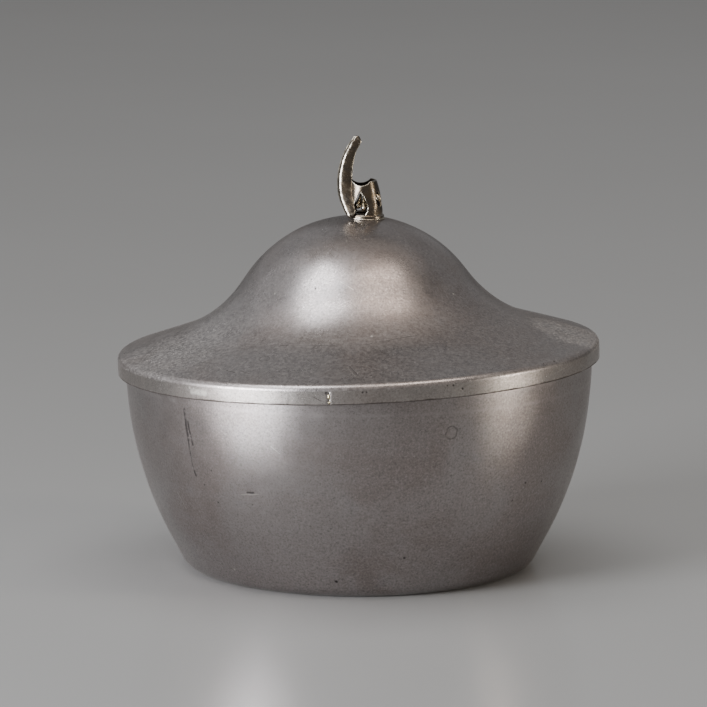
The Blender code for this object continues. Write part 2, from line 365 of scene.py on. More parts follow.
def build_bowl(material):
    outside = bowl_outside()
    inside = offset(outside, BOWL_WALL)
    lip = walk(*outside[-1][:2], MOUTH_SLOPE, [(BOWL_WALL / 2, 180.0, 10)])[1:-1]
    floor = [(BASE_RADIUS * i / 14, BOWL_WALL) for i in range(14)]
    under = [(BASE_RADIUS * i / 14, 0.0) for i in range(13, -1, -1)]
    outline = floor + inside + lip[::-1] + outside[::-1] + under
    piece = add_piece("bowl_body", lathe_mesh(outline, shape=bowl_shape), Matrix.Identity(4))
    return belong(piece, "bowl", "bowl_silver", material, "bowl_shell")


def build_lid(material):
    sheet, edge = lid_outside()
    bored = [p for p in sheet if p[0] > 1.6 * LID_BORE]
    top = (LID_BORE, LID_APEX - LID_BORE ** 2 / (2 * DOME_RADIUS), 0.0)
    outline = [top] + bored + edge + offset([top] + bored, -LID_SHEET)[::-1]
    piece = add_piece("lid_body", lathe_mesh(outline, ring=True, shape=lid_shape), LID)
    return belong(piece, "lid", "lid_silver", material, "lid_shell")


def build_band(material):
    """The soldered strip round the lid's edge, butted at a seam near the front."""
    inner = LID_RADIUS - BAND_THICKNESS
    top = lid_outside()[1][-1][1]
    soft = 0.2 * MM
    strip = [(inner, top)]
    strip += [(LID_RADIUS, soft + (top - soft) * share / 6) for share in range(6, 0, -1)]
    strip += [(x, z) for x, z, _ in walk(LID_RADIUS, soft, -90.0, [(soft, -90.0, 6)])]
    strip += [(inner, 0.0), (inner, top / 2)]
    half_gap = math.degrees(SEAM_GAP / 2 / LID_RADIUS)
    seam = SEAM_ANGLE - 90.0
    whole = lathe_mesh(strip, steps=1440, ring=True, sweep=(seam + half_gap, seam + 360.0 - half_gap),
                       shape=band_shape)
    piece = add_piece("edge_band", whole, LID)
    return belong(piece, "lid", "lid_silver", material, "lid_edge_band")


def add_blob(whole, middle, radii, turn, seed):
    """An uneven droplet of metal added to a bmesh."""
    made = bmesh.ops.create_icosphere(whole, subdivisions=4, radius=1.0)
    for vert in made["verts"]:
        rough = 1 + 0.16 * noise.noise(vert.co * 1.7 + UP * seed)
        vert.co = middle + turn @ Vector(a * b for a, b in zip(vert.co * rough, radii))


def build_band_solder(material):
    """The solder that fills the band's seam: a long bead and the run at its lower end."""
    whole = bmesh.new()
    face = Matrix.Rotation(math.radians(SEAM_ANGLE), 3, "Z")
    depth = 0.30 * MM
    for height, wide, tall, seed in ((2.05, 0.32, 0.62, 1.0), (0.62, 0.26, 0.34, 5.0)):
        middle = on_band(SEAM_ANGLE, height) * 1.0
        middle -= round_from_front(SEAM_ANGLE) * 0.12 * MM
        add_blob(whole, middle, (wide * MM, depth, tall * MM), face, seed)
    piece = add_piece("band_seam_solder", whole, LID)
    return belong(piece, "lid", "lid_silver", material)


def leaf_section(along):
    """The leaf's closed outline across, as (inwards from the spine, sideways), folded round a groove."""
    width = (1.2 + 2.4 * math.sin(math.pi * along ** 0.75) ** 0.7) * MM if 0 < along < 1 else 1.2 * MM
    width += 0.55 * MM * smoothstep(0.8, 0.97, along)
    depth = (0.55 + 1.0 * math.sin(math.pi * along ** 0.6) ** 0.8) * MM if 0 < along < 1 else 0.55 * MM
    groove = 0.72 - 0.34 * smoothstep(0.84, 0.98, along)
    half = [
        (0.0, 0.13 * MM),
        (0.06 * width, 0.42 * depth + 0.06 * MM),
        (0.16 * width, 0.84 * depth),
        (0.40 * width, 0.97 * depth),
        (0.72 * width, 1.0 * depth),
        (0.96 * width, 0.88 * depth),
        (1.0 * width, 0.66 * depth),
        (0.85 * width, 0.42 * depth),
        ((groove + 0.03) * width, 0.16 * depth),
    ]
    other = [(inwards, -sideways) for inwards, sideways in reversed(half)]
    return [(groove * width, 0.0)] + [p for p in reversed(half)] + other


def leaf_point(along, inwards, sideways):
    """A point of the leaf in the lid's frame: the leaf curls along an arc and its foot comes forwards."""
    angle = math.radians(LEAF_FOOT_ANGLE + (LEAF_TIP_ANGLE - LEAF_FOOT_ANGLE) * along)
    outward = Vector((math.cos(angle), 0.0, math.sin(angle)))
    forward = 3.6 * MM * max(0.0, 1 - along / 0.42) ** 1.6
    foot = 0.5 * MM * (1 - smoothstep(0.0, 0.3, along))
    spine = Vector((LEAF_ARC_CENTRE[0] + foot, POD_CENTRE.y - forward, LEAF_ARC_CENTRE[1]))
    spine += outward * (LEAF_ARC_RADIUS - 0.05 * MM)
    return spine - outward * inwards + Vector((0.0, sideways, 0.0))


def build_leaf(material):
    whole = bmesh.new()
    sections = 130
    rings = []
    for index in range(sections + 1):
        along = index / sections
        ring = []
        shrink = math.sqrt(max(0.0, 1 - smoothstep(0.955, 1.0, along) ** 2))
        shrink *= 0.25 + 0.75 * smoothstep(-0.02, 0.05, along)
        outline = rounded(leaf_section(along), 3)
        middle = sum(p[0] for p in outline) / len(outline)
        for inwards, sideways in outline:
            point = leaf_point(along, middle + (inwards - middle) * max(shrink, 0.12),
                               sideways * max(shrink, 0.12))
            cast = noise.noise_vector(point / (1.3 * MM)) * 0.07 * MM
            rough = noise.noise_vector(point / (0.45 * MM)) * 0.10 * MM * smoothstep(0.86, 0.97, along)
            ring.append(whole.verts.new(point + cast + rough))
        rings.append(ring)
    for lower, upper in zip(rings, rings[1:]):
        for i in range(len(lower)):
            j = (i + 1) % len(lower)
            whole.faces.new((lower[i], lower[j], upper[j], upper[i]))
    whole.faces.new(rings[0][::-1])
    whole.faces.new(rings[-1])
    piece = add_piece("finial_leaf_cast", whole, LID)
    mark_relief(piece.data, 3)
    return belong(piece, "lid", "finial_silver", material, "finial_leaf")


def mark_relief(mesh, passes, inside=None):
    """Stores at each point how raised (over 0) or sunken (under 0) the surface is, for wear and tarnish.
    inside(point, normal) adds to it where a surface is shut in."""
    whole = bmesh.new()
    whole.from_mesh(mesh)
    whole.normal_update()
    values = []
    around = []
    for vert in whole.verts:
        others = [edge.other_vert(vert) for edge in vert.link_edges]
        bend = sum(vert.normal.dot((other.co - vert.co).normalized()) for other in others)
        values.append(-bend / len(others))
        around.append([other.index for other in others])
    for _ in range(passes):
        values = [0.5 * value + 0.5 * sum(values[i] for i in near) / len(near)
                  for value, near in zip(values, around)]
    if inside:
        values = [value + inside(vert.co, vert.normal) for value, vert in zip(values, whole.verts)]
    whole.free()
    mesh.attributes.new("relief", "FLOAT", "POINT").data.foreach_set("value", values)


def helper_object(name, whole, place):
    """An object only used to shape another."""
    bmesh.ops.recalc_face_normals(whole, faces=whole.faces)
    mesh = bpy.data.meshes.new(name)
    whole.to_mesh(mesh)
    whole.free()
    mesh.transform(place)
    made = bpy.data.objects.new(name, mesh)
    bpy.context.scene.collection.objects.link(made)
    return made


def window_cutter(name, middle, half_width, below, above, turn):
    """A pointed arch, as seen along its own -Y, pushed through the pod's wall."""
    whole = bmesh.new()
    outline = []
    for i in range(24):
        angle = math.pi * i / 24
        outline.append((-half_width * math.cos(angle), -below * math.sin(angle)))
    for i in range(16):
        rise = i / 16
        outline.append((half_width * (1 - rise ** 1.7), above * rise))
    for i in range(16):
        rise = 1 - i / 16
        outline.append((-half_width * (1 - rise ** 1.7), above * rise))
    depths = (-2.6, 2.6)
    rings = [[whole.verts.new((x * MM, y * MM, z * MM)) for x, z in outline] for y in depths]
    for i in range(len(outline)):
        j = (i + 1) % len(outline)
        whole.faces.new((rings[0][i], rings[0][j], rings[1][j], rings[1][i]))
    whole.faces.new(rings[0])
    whole.faces.new(rings[1][::-1])
    place = LID @ Matrix.Translation(Vector(middle) * MM) @ Matrix.Rotation(math.radians(turn), 4, "Z")
    return helper_object(name, whole, place)


def carved(piece, cutters, voxel, smoothing):
    """Cuts a piece, then remeshes and smooths it, so that its edges are soft as cast ones are."""
    for cutter in cutters:
        cut = piece.modifiers.new("Cut", "BOOLEAN")
        cut.operation = "DIFFERENCE"
        cut.solver = "EXACT"
        cut.object = cutter
    remesh = piece.modifiers.new("Remesh", "REMESH")
    remesh.mode = "VOXEL"
    remesh.voxel_size = voxel
    smooth = piece.modifiers.new("Smooth", "SMOOTH")
    smooth.factor = 0.6
    smooth.iterations = smoothing
    graph = bpy.context.evaluated_depsgraph_get()
    whole = bmesh.new()
    whole.from_mesh(bpy.data.meshes.new_from_object(piece.evaluated_get(graph)))
    for used in (piece, *cutters):
        bpy.data.objects.remove(used, do_unlink=True)
    return whole


def leaf_room(clearance):
    """The leaf's space, a little larger than the leaf, which its neighbours leave free."""
    whole = bmesh.new()
    rings = []
    for index in range(41):
        along = index / 40
        outline = rounded(leaf_section(along), 2)
        middle = sum(p[0] for p in outline) / len(outline)
        ring = []
        for inwards, sideways in outline:
            reach = math.hypot(inwards - middle, sideways)
            grown = 1 + clearance / max(reach, clearance)
            ring.append(whole.verts.new(leaf_point(along, middle + (inwards - middle) * grown,
                                                   sideways * grown)))
        rings.append(ring)
    for lower, upper in zip(rings, rings[1:]):
        for i in range(len(lower)):
            j = (i + 1) % len(lower)
            whole.faces.new((lower[i], lower[j], upper[j], upper[i]))
    whole.faces.new(rings[0][::-1])
    whole.faces.new(rings[-1])
    return helper_object("leaf_room", whole, LID)


def build_collar(material):
    """The low ring that the pod stands on, its underside following the dome."""
    def under(radius):
        return math.sqrt(POD_SEAT ** 2 - radius ** 2) - POD_SEAT

    outer = COLLAR_RADIUS
    base = under(outer)
    outline = [(COLLAR_BORE, COLLAR_HEIGHT * 0.9), (COLLAR_BORE + 0.1 * MM, COLLAR_HEIGHT)]
    outline += [(outer - 0.65 * MM, COLLAR_HEIGHT)]
    outline += [(x, z) for x, z, _ in walk(outer - 0.55 * MM, COLLAR_HEIGHT, 0.0, [(0.5 * MM, -78.0, 10)])]
    outline += [(outer, base + 0.25 * MM), (outer - 0.05 * MM, base + 0.08 * MM)]
    outline += [(COLLAR_BORE + (outer - 0.15 * MM - COLLAR_BORE) * k / 5,
                 under(COLLAR_BORE + (outer - 0.15 * MM - COLLAR_BORE) * k / 5)) for k in range(5, -1, -1)]

    def shape(point):
        return point + noise.noise_vector(point / (1.5 * MM)) * 0.05 * MM

    body = helper_object("collar_blank", lathe_mesh(outline, steps=120, ring=True, shape=shape), POD)
    whole = carved(body, [leaf_room(0.12 * MM)], 0.07 * MM, 3)
    whole.transform(LID.inverted())
    piece = add_piece("finial_collar_ring", whole, LID)
    mark_relief(piece.data, 3)
    return belong(piece, "lid", "finial_silver", material, "finial_collar")


def build_collar_solder(material):
    """The uneven fillet of solder between the collar and the dome."""
    bead = 0.24 * MM
    ring = []
    for k in range(12):
        angle = 2 * math.pi * k / 12
        ring.append((COLLAR_RADIUS - 0.12 * MM + bead * math.cos(angle), bead * 0.75 * math.sin(angle)))
    drop = math.sqrt(POD_SEAT ** 2 - COLLAR_RADIUS ** 2) - POD_SEAT

    def shape(point):
        around = Vector((point.x, point.y, 0.0)).normalized()
        grown = 0.10 * MM * (0.3 + noise.noise(around * 3.1)) + 0.05 * MM * noise.noise(around * 9.0)
        return point + around * grown + UP * (drop - 0.1 * MM)

    piece = add_piece("finial_collar_solder", lathe_mesh(ring, steps=160, ring=True, shape=shape), POD)
    mark_relief(piece.data, 2)
    return belong(piece, "lid", "finial_silver", material)


def build_husk(material):
    """The pod's wall: a leaning tube, with pointed windows in front, behind and at the side."""
    line = [(3.3, 8.0), (3.55, 6.9), (3.8, 5.2), (4.05, 3.0), (4.2, 1.2), (4.1, -0.35)]
    outside = rounded([(r * MM, HUSK_FOOT + z * MM) for r, z in line], 8, closed=False)
    inside = [(r - HUSK_WALL, z) for r, z in outside]
    lean = Matrix.Shear("XY", 4, (-math.tan(math.radians(POD_LEAN)), 0.0))

    def shape(point):
        point = lean @ point
        return point + noise.noise_vector(point / (2.2 * MM)) * 0.12 * MM

    blank = lathe_mesh(outside + inside[::-1], steps=160, ring=True, shape=shape)
    body = helper_object("husk_blank", blank, POD)
    scoop = bmesh.new()
    bmesh.ops.create_cone(scoop, cap_ends=True, segments=64, radius1=2.9 * MM, radius2=2.9 * MM,
                          depth=14 * MM, matrix=Matrix.Rotation(math.pi / 2, 4, "X"))
    cutters = [
        window_cutter("window_front", (1.9, -4.6, 39.6), 1.75, 2.2, 3.9, 0.0),
        window_cutter("window_back", (2.3, 2.8, 39.6), 1.75, 2.2, 3.9, 0.0),
        window_cutter("window_side", (6.6, -3.1, 41.2), 1.25, 1.7, 2.1, 52.0),
        helper_object("scoop", scoop, LID @ Matrix.Translation(Vector((2.3, -0.8, 47.9)) * MM)),
        leaf_room(0.10 * MM),
    ]
    whole = carved(body, cutters, 0.085 * MM, 4)
    whole.transform(LID.inverted())
    piece = add_piece("finial_husk_cast", whole, LID)
    middle = POD @ Vector((0.0, 0.0, HUSK_FOOT))
    axis = (POD.to_3x3() @ Vector((-math.tan(math.radians(POD_LEAN)), 0.0, 1.0))).normalized()

    def inside_pod(point, normal):
        out = point - middle
        out -= axis * out.dot(axis)
        return -0.25 * smoothstep(0.1, 0.8, -normal.dot(out.normalized()))

    mark_relief(piece.data, 4, inside_pod)
    return belong(piece, "lid", "finial_silver", material, "finial_husk")


def build_berries(material):
    """Drop-shaped berries on short wire stems, each hanging from the top of its window."""
    hanging = {  # middle of the berry, and where its stem ends
        "front_left": ((1.15, -2.5, 39.9), (2.0, -2.3, 42.9), 1.05),
        "front_right": ((2.75, -2.9, 39.3), (2.6, -2.4, 42.7), 1.0),
        "side": ((6.3, -2.3, 41.5), (5.2, -1.6, 43.3), 0.95),
        "back_left": ((1.5, 0.9, 40.1), (2.3, 0.5, 42.9), 1.0),
        "back_right": ((3.3, 1.1, 39.5), (3.1, 0.6, 42.7), 1.03),
    }
    for index, (name, (middle, stem_end, size)) in enumerate(hanging.items()):
        middle = Vector(middle) * MM
        stem = Vector(stem_end) * MM - middle
        radius = BERRY_RADIUS * size
        ball = walk(0.0, radius, 0.0, [(radius, -180.0, 28)])
        outline = [(0.0, stem.length), (0.7 * STEM_RADIUS, stem.length)]
        outline += [(STEM_RADIUS, stem.length - 0.08 * MM), (STEM_RADIUS, stem.length * 0.7)]
        outline += [(x + STEM_RADIUS * math.exp(-((x - STEM_RADIUS) / (0.25 * MM)) ** 2) * (z > 0),
                     z + 0.35 * MM * smoothstep(0.4 * radius, radius, z))
                    for x, z, _ in ball if x > 1.2 * STEM_RADIUS or z < 0]
        outline[-1] = (0.0, -radius)

        def shape(point, seed=index * 7.3):
            flat = noise.noise_vector(point / (0.9 * MM) + UP * seed) * 0.06 * MM
            return point + flat * smoothstep(0.0, 0.4 * MM, math.hypot(point.x, point.y))

        place = LID @ Matrix.Translation(middle) @ UP.rotation_difference(stem).to_matrix().to_4x4()
        piece = add_piece("berry_" + name, lathe_mesh(outline, steps=48, shape=shape), place)
        mark_relief(piece.data, 2)
        belong(piece, "lid", "berry_silver", material, "finial_berry_" + name)


def build_stud(material):
    """The finial's screw-cut stud."""
    turns_per_row = 10
    rows = int(STUD_LENGTH / THREAD_PITCH * turns_per_row)
    outline = [(0.0, STUD_TOP)]
    outline += [(STUD_RADIUS, STUD_TOP - STUD_LENGTH * i / rows) for i in range(rows + 1)]
    outline += [(0.0, STUD_TOP - STUD_LENGTH)]

    def shape(point):
        radius = math.hypot(point.x, point.y)
        if radius < 0.1 * STUD_RADIUS:
            return point
        turn = math.atan2(point.y, point.x) / (2 * math.pi)
        phase = (point.z / THREAD_PITCH - turn) % 1.0
        cut = 0.16 * MM * abs(2 * phase - 1)
        cut += 0.3 * MM * (1 - smoothstep(0.0, 0.45 * MM, point.z - STUD_TOP + STUD_LENGTH))
        return Vector((point.x, point.y, 0.0)) * (1 - cut / radius) + UP * point.z

    piece = add_piece("finial_stud_thread", lathe_mesh(outline, steps=48, shape=shape), LID)
    return belong(piece, "lid", "fixing_brass", material, "finial_stud")


def ring_outline(inner, outer, top, bottom, soft):
    """A ring's section with softened outer corners, down the outer side."""
    upper = walk(outer - soft, top, 0.0, [(soft, -90.0, 5)])
    lower = walk(outer, bottom + soft, -90.0, [(soft, -90.0, 5)])
    return [(inner, top - soft / 2), (inner + soft / 2, top)] + upper + lower + [
        (inner + soft / 2, bottom), (inner, bottom + soft / 2)]


def build_washer(material):
    """The stamped washer. The real one is very slightly dished; this one is made flat."""
    outline = ring_outline(LID_BORE, WASHER_RADIUS, WASHER_TOP - 0.01 * MM,
                           WASHER_TOP - WASHER_THICKNESS + 0.01 * MM, 0.14 * MM)
    piece = add_piece("finial_washer_stamped", lathe_mesh(outline, steps=128, ring=True), LID)
    return belong(piece, "lid_carrier", "fixing_brass", material, "finial_washer")


def build_nut(material):
    """A small hexagonal nut with its corners turned off."""
    corner = NUT_ACROSS_CORNERS / 2
    flat = corner * math.cos(math.pi / 6)
    outline = ring_outline(LID_BORE, corner, NUT_TOP, NUT_TOP - NUT_HEIGHT, 0.12 * MM)
    middle = NUT_TOP - NUT_HEIGHT / 2

    def shape(point):
        radius = math.hypot(point.x, point.y)
        angle = math.atan2(point.y, point.x)
        side = (angle % (math.pi / 3)) - math.pi / 6
        limit = flat / math.cos(side)
        crown = corner - 0.35 * max(0.0, abs(point.z - middle) - NUT_HEIGHT / 2 + 0.3 * MM)
        wanted = min(radius, limit, crown)
        return Vector((point.x, point.y, 0.0)) * (wanted / radius) + UP * point.z

    piece = add_piece("finial_nut_hex", lathe_mesh(outline, steps=180, ring=True, shape=shape), LID)
    piece.data.set_sharp_from_angle(angle=math.radians(28))
    return belong(piece, "lid", "fixing_brass", material, "finial_nut")


# ---------------------------------------------------------------- materials

class Graph:
    """A material's nodes.  Each method adds a node and returns the socket that comes out of it."""

    def __init__(self, name):
        self.material = bpy.data.materials.new(name)
        self.material.use_nodes = True
        self.tree = self.material.node_tree
        self.shader = self.tree.nodes["Principled BSDF"]

    def node(self, kind, inputs, output=0, **settings):
        made = self.tree.nodes.new(kind)
        for key, value in settings.items():
            setattr(made, key, value)
        for key, value in inputs.items():
            if isinstance(value, bpy.types.NodeSocket):
                self.tree.links.new(value, made.inputs[key])
            else:
                made.inputs[key].default_value = value
        return made.outputs[output]

    def own(self):
        return self.node("ShaderNodeAttribute", {}, "Vector", attribute_name="own")

    def relief(self):
        return self.node("ShaderNodeAttribute", {}, "Fac", attribute_name="relief")

    def math(self, operation, a, b=0.0, clamp=False):
        return self.node("ShaderNodeMath", {0: a, 1: b}, operation=operation, use_clamp=clamp)

    def vector(self, operation, a, b=(0.0, 0.0, 0.0), output=0):
        return self.node("ShaderNodeVectorMath", {0: a, 1: b}, output, operation=operation)

    def scaled(self, a, factor):
        return self.node("ShaderNodeVectorMath", {0: a, "Scale": factor}, operation="SCALE")

    def fit(self, value, low, high, to_low=0.0, to_high=1.0):
        """value from low..high to to_low..to_high, eased and held at the ends."""
        return self.node("ShaderNodeMapRange", {0: value, 1: low, 2: high, 3: to_low, 4: to_high},
                         interpolation_type="SMOOTHSTEP")

    def noise(self, coordinate, size, detail=3.0, roughness=0.5, distortion=0.0):
        """Noise whose features are about size metres across."""
        inputs = {"Vector": coordinate, "Scale": 1 / size, "Detail": detail,
                  "Roughness": roughness, "Distortion": distortion}
        return self.node("ShaderNodeTexNoise", inputs)

    def mix(self, share, a, b, blend="MIX"):
        return self.node("ShaderNodeMix", {0: share, 6: a, 7: b}, 2, data_type="RGBA", blend_type=blend)

    def highest(self, values):
        """The highest of the values, joined one by one as they are made, which keeps the shader small."""
        result = None
        for value in values:
            result = value if result is None else self.math("MAXIMUM", result, value)
        return result

    def moved(self, coordinate, size, amount):
        """The coordinate shaken by noise, so that what is drawn with it isn't ruler-straight."""
        inputs = {"Vector": coordinate, "Scale": 1 / size, "Detail": 2.0}
        wobble = self.node("ShaderNodeTexNoise", inputs, "Color")
        wobble = self.vector("SUBTRACT", wobble, (0.5, 0.5, 0.5))
        return self.vector("ADD", coordinate, self.scaled(wobble, amount))

    def spot(self, coordinate, middle, radius, softness=0.5):
        distance = self.vector("DISTANCE", coordinate, tuple(middle), "Value")
        return self.fit(distance, radius, radius * (1 - softness), 0.0, 1.0)

    def stroke(self, coordinate, start, end, width):
        """1 on the line from start to end, falling to 0 at half the width to its side."""
        way = end - start
        from_start = self.vector("SUBTRACT", coordinate, tuple(start))
        along = self.vector("DOT_PRODUCT", from_start, tuple(way / way.length_squared), "Value")
        along = self.math("MULTIPLY", along, 1.0, clamp=True)
        nearest = self.node("ShaderNodeVectorMath", {0: tuple(way), "Scale": along}, operation="SCALE")
        distance = self.vector("DISTANCE", from_start, nearest, "Value")
        return self.fit(distance, width / 2, width / 8, 0.0, 1.0)

    def hoop(self, coordinate, middle, radius, width):
        """A thin circle on the surface round a point."""
        distance = self.vector("DISTANCE", coordinate, tuple(middle), "Value")
        away = self.math("ABSOLUTE", self.math("SUBTRACT", distance, radius))
        return self.fit(away, width / 2, width / 8)

    def strokes(self, coordinate, lines):
        """The lines, each a list of points and a width; one point alone is a round spot."""
        for points, width in lines:
            if len(points) == 1:
                yield self.spot(coordinate, points[0], width / 2)
            for start, end in zip(points, points[1:]):
                yield self.stroke(coordinate, start, end, width)

    def unrolled(self, own, height):
        """The side of a round body laid flat: round the body, and up it."""
        x = self.node("ShaderNodeSeparateXYZ", {0: own}, 0)
        y = self.node("ShaderNodeSeparateXYZ", {0: own}, 1)
        angle = self.math("ARCTAN2", x, self.math("MULTIPLY", y, -1.0))
        return self.node("ShaderNodeCombineXYZ", {0: self.math("MULTIPLY", angle, LID_RADIUS), 1: height})

    def scratches(self, coordinate, turn, fine, long, rarity):
        """Straight scratches, fine metres across and about long metres long, at one turn in the plane."""
        stretched = self.node("ShaderNodeMapping", {
            "Vector": coordinate,
            "Rotation": (0.0, 0.0, math.radians(turn)),
            "Scale": (long, fine, fine),
        }, vector_type="TEXTURE")
        grain = self.node("ShaderNodeTexNoise", {"Vector": stretched, "Scale": 1.0, "Detail": 1.0})
        return self.fit(grain, rarity, rarity + 0.09)

    def bump(self, height, depth, normal=None):
        inputs = {"Height": height, "Distance": depth, "Strength": 1.0}
        if normal:
            inputs["Normal"] = normal
        return self.node("ShaderNodeBump", inputs)

    def connect(self, **sockets):
        for name, socket in sockets.items():
            self.tree.links.new(socket, self.shader.inputs[name.replace("_", " ")])


def scratch_layers(graph, sheet, own):
    """Fine handling scratches in several directions on the flattened surface, which come and go."""
    shaken = graph.moved(sheet, 12 * MM, 1.0 * MM)
    layers = [graph.scratches(shaken, turn, 0.20 * MM, 9 * MM, 0.65) for turn in SCRATCH_TURNS]
    come_and_go = graph.fit(graph.noise(own, 9 * MM, 3.0), 0.36, 0.62, 0.15, 1.0)
    return graph.math("MULTIPLY", graph.highest(layers), come_and_go)


def worn_silver(name, tint, shine, dark_lines, light_lines, hoops=(), wear_lines=(), dust=0.0,
                painted_dark_edge=False, flat_sheet=False):
    """Old dull silver.  tint is its main colour and shine lowers its roughness.  The lines are lists of
    (points, width), the hoops (middle, radius, width).  dust, from 0 to 1, is how much lies on it."""
    g = Graph(name)
    own = g.own()
    blotches = g.noise(own, 26 * MM, 4.0, 0.55, 0.6)
    patches = g.noise(own, 6.5 * MM, 6.0, 0.62, 0.3)
    grain = g.noise(own, 0.52 * MM, 4.0, 0.78)
    flat = g.vector("MULTIPLY", own, (1.0, 1.0, 0.0))
    radius = g.vector("LENGTH", flat, output="Value")
    height = g.node("ShaderNodeSeparateXYZ", {0: own}, 2)
    profile = g.node("ShaderNodeCombineXYZ", {0: radius, 1: height})
    rings = g.noise(profile, 0.38 * MM, 3.0, 0.7)
    wide_rings = g.noise(profile, 2.6 * MM, 2.0, 0.5)
    sheet = flat if flat_sheet else g.unrolled(own, height)
    scratches = scratch_layers(g, sheet, own)

    lighter = tuple(c * 1.14 for c in tint)
    browner = (tint[0] * 0.88, tint[1] * 0.82, tint[2] * 0.79)
    bluer = (tint[0] * 0.84, tint[1] * 0.92, tint[2] * 1.0)
    darker = tuple(c * 0.42 for c in tint)
    colour = g.mix(g.fit(blotches, 0.36, 0.68), (*lighter, 1.0), (*browner, 1.0))
    colour = g.mix(g.fit(patches, 0.54, 0.78, 0.0, 0.4), colour, (*bluer, 1.0))
    colour = g.mix(g.fit(wide_rings, 0.35, 0.65, 0.0, 0.20), colour, (*lighter, 1.0))
    colour = g.mix(g.fit(grain, 0.48, 0.72, 0.0, 0.80), colour, (*darker, 1.0))
    colour = g.mix(g.fit(grain, 0.50, 0.28, 0.0, 0.75), colour, (*[c * 1.6 for c in tint], 1.0))
    colour = g.mix(g.math("MULTIPLY", scratches, 0.28), colour, (*[c * 1.5 for c in tint], 1.0))

    line_space = g.moved(own, 1.6 * MM, 0.35 * MM)
    height_map = g.math("MULTIPLY", rings, 0.30)
    height_map = g.math("ADD", height_map, g.math("MULTIPLY", patches, 0.6))
    height_map = g.math("ADD", height_map, g.math("MULTIPLY", grain, 0.45))
    height_map = g.math("SUBTRACT", height_map, g.math("MULTIPLY", scratches, 0.12))
    roughness = g.fit(patches, 0.3, 0.7, 0.31 - shine, 0.37 - shine)
    roughness = g.math("ADD", roughness, g.fit(blotches, 0.35, 0.7, -0.03, 0.03))
    roughness = g.math("ADD", roughness, g.math("MULTIPLY", scratches, 0.05))
    roughness = g.math("ADD", roughness, g.fit(grain, 0.25, 0.75, -0.05, 0.07))

    broken = g.fit(g.noise(own, 0.9 * MM, 4.0, 0.65), 0.32, 0.50, 0.35, 1.0)
    dark = g.highest(g.strokes(line_space, dark_lines))
    for middle, hoop_radius, width in hoops:
        ring = g.hoop(g.moved(own, 1.9 * MM, 1.3 * MM), middle, hoop_radius, width)
        dark = g.math("MAXIMUM", dark, g.math("MULTIPLY", ring, 0.55))
    dark = g.math("MULTIPLY", dark, broken)
    colour = g.mix(g.math("MULTIPLY", dark, 0.95), colour, (0.032, 0.028, 0.027, 1.0))
    roughness = g.math("ADD", roughness, g.math("MULTIPLY", dark, 0.25))
    height_map = g.math("SUBTRACT", height_map, g.math("MULTIPLY", dark, 1.5))
    light = g.math("MULTIPLY", g.highest(g.strokes(line_space, light_lines)), broken)
    colour = g.mix(g.math("MULTIPLY", light, 0.7), colour, (0.66, 0.63, 0.58, 1.0))
    if wear_lines:
        wear = g.highest(g.fit(g.math("ABSOLUTE", g.math("SUBTRACT", height, level)), width, 0.0)
                         for level, width in wear_lines)
        wear = g.math("MULTIPLY", wear, g.fit(patches, 0.35, 0.6, 0.2, 0.8))
        colour = g.mix(g.math("MULTIPLY", wear, 0.6), colour, (*[c * 1.4 for c in tint], 1.0))

    pits = pit_mask(g, own, 3.4 * MM, 0.055)
    colour = g.mix(g.math("MULTIPLY", pits, 0.85), colour, (0.05, 0.042, 0.038, 1.0))
    height_map = g.math("SUBTRACT", height_map, g.math("MULTIPLY", pits, 1.5))

    # Painted shade: the lowest half millimetre of the band is painted near-black and made rougher, standing
    # in for the dark reflection and the shadow under its lower edge.
    if painted_dark_edge:
        uneven = g.math("ADD", height, g.fit(patches, 0.3, 0.7, -0.12 * MM, 0.12 * MM))
        edge = g.fit(uneven, 0.55 * MM, 0.15 * MM)
        colour = g.mix(g.math("MULTIPLY", edge, 0.9), colour, (0.045, 0.036, 0.032, 1.0))
        roughness = g.math("ADD", roughness, g.math("MULTIPLY", edge, 0.3))
    if dust:
        settled = dust_mask(g, own, radius, dust)
        colour = g.mix(settled, colour, (0.80, 0.76, 0.70, 1.0))
        roughness = g.math("ADD", roughness, g.math("MULTIPLY", settled, 0.4))
        g.connect(Metallic=g.math("SUBTRACT", 1.0, g.math("MULTIPLY", settled, 0.9)))
    else:
        g.shader.inputs["Metallic"].default_value = 1.0
    g.connect(Base_Color=colour, Roughness=roughness, Normal=g.bump(height_map, 0.012 * MM))
    return g.material


def pit_mask(g, coordinate, cell, radius):
    """Rare small round pits, one in some of the cells."""
    inputs = {"Vector": coordinate, "Scale": 1 / cell}
    near = g.node("ShaderNodeTexVoronoi", inputs, "Distance")
    chance = g.node("ShaderNodeSeparateColor", {0: g.node("ShaderNodeTexVoronoi", inputs, "Color")})
    size = g.fit(chance, 0.45, 1.0, 0.0, radius)
    return g.fit(g.math("SUBTRACT", size, near), 0.0, radius * 0.4)


def dust_mask(g, own, radius, amount):
    """Pale dust: a thin film and fine specks, thickest on the brim and most of all at its right."""
    brim = g.fit(radius, 22 * MM, 46 * MM, 0.40, 1.0)
    shaken = g.moved(own, 8 * MM, 5 * MM)
    right = g.spot(shaken, on_lid(84.0, 54.0), 14 * MM, 0.25)
    left = g.spot(shaken, on_lid(-66.0, 50.0), 26 * MM, 0.8)
    gathered = g.math("ADD", g.math("MULTIPLY", right, 0.55), g.math("MULTIPLY", left, 0.35))
    gathered = g.math("ADD", gathered, 0.30)
    thick = g.math("MULTIPLY", g.math("MULTIPLY", brim, gathered), amount)
    film = g.fit(g.noise(own, 0.9 * MM, 5.0, 0.8), 0.36, 0.70, 0.02, 0.40)
    specks = g.highest(speck_mask(g, own, cell, reach)
                       for cell, reach in ((1.1 * MM, 0.20), (2.3 * MM, 0.13), (0.6 * MM, 0.22)))
    return g.math("MULTIPLY", g.math("MAXIMUM", film, specks), thick, clamp=True)


